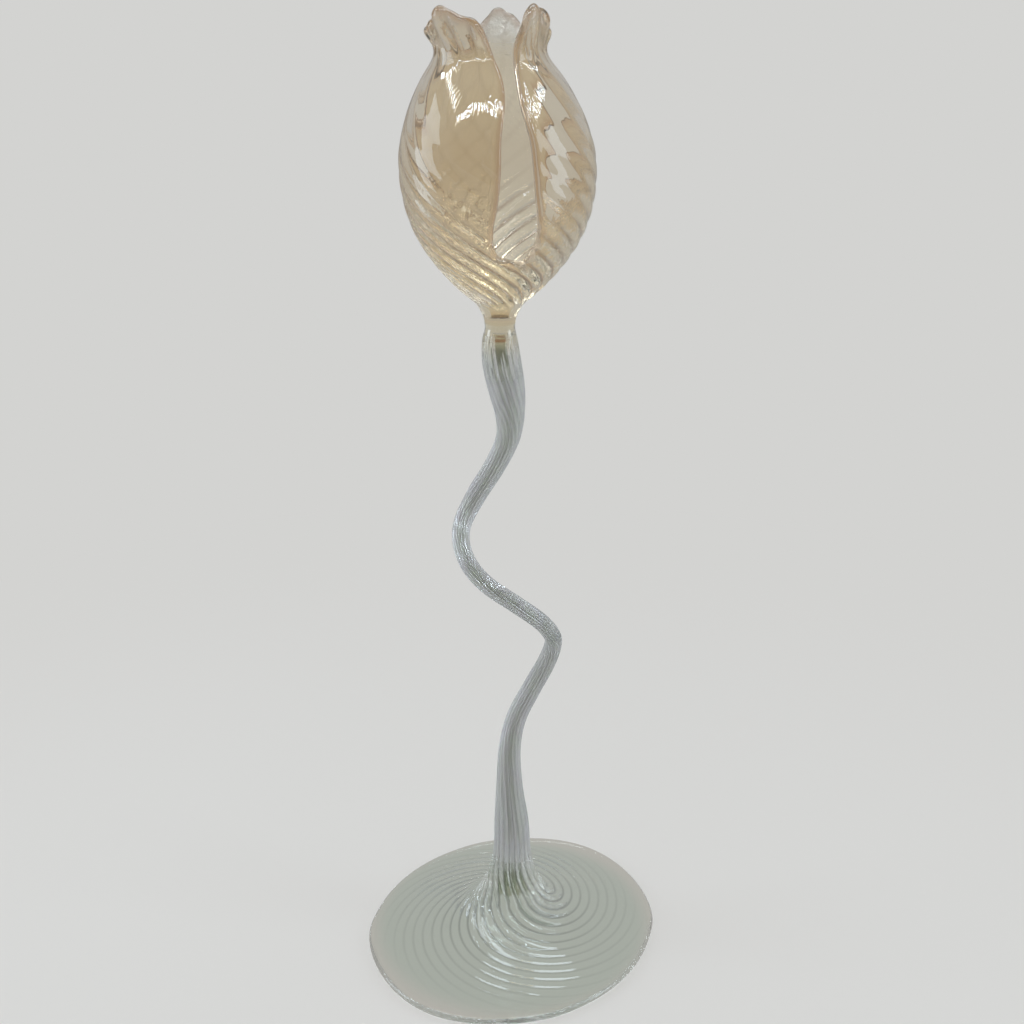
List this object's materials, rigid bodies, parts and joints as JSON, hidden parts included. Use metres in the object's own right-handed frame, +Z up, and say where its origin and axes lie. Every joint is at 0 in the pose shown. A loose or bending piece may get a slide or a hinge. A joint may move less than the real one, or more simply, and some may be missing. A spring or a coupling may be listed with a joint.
{
  "type": "blown glass flower",
  "caption": "Free-standing blown glass flower: clear trumpet foot with swirling ribs, hollow corkscrew stem, solid neck bit and an amber tulip blossom sheared into petals.",
  "frame": {"origin": "centre of the foot's bounding box, on the table plane", "axes": "+Z up from the foot to the petal tips, -Y towards the viewer who faces the deepest slit between the petals, +X to that viewer's right"},
  "size_m": [0.129, 0.131, 0.4036],
  "materials": {
    "clear_glass": "fire-polished, faintly grey-green, pearly sheen",
    "pale_glass": "fire-polished, amber fading to clear",
    "amber_glass": "fire-polished, pale amber with thicker, darker lips"
  },
  "bodies": {
    "root": {"foot": "clear_glass", "stem": "clear_glass", "neck_bit": "pale_glass", "blossom": "amber_glass"}
  },
  "joints": []
}
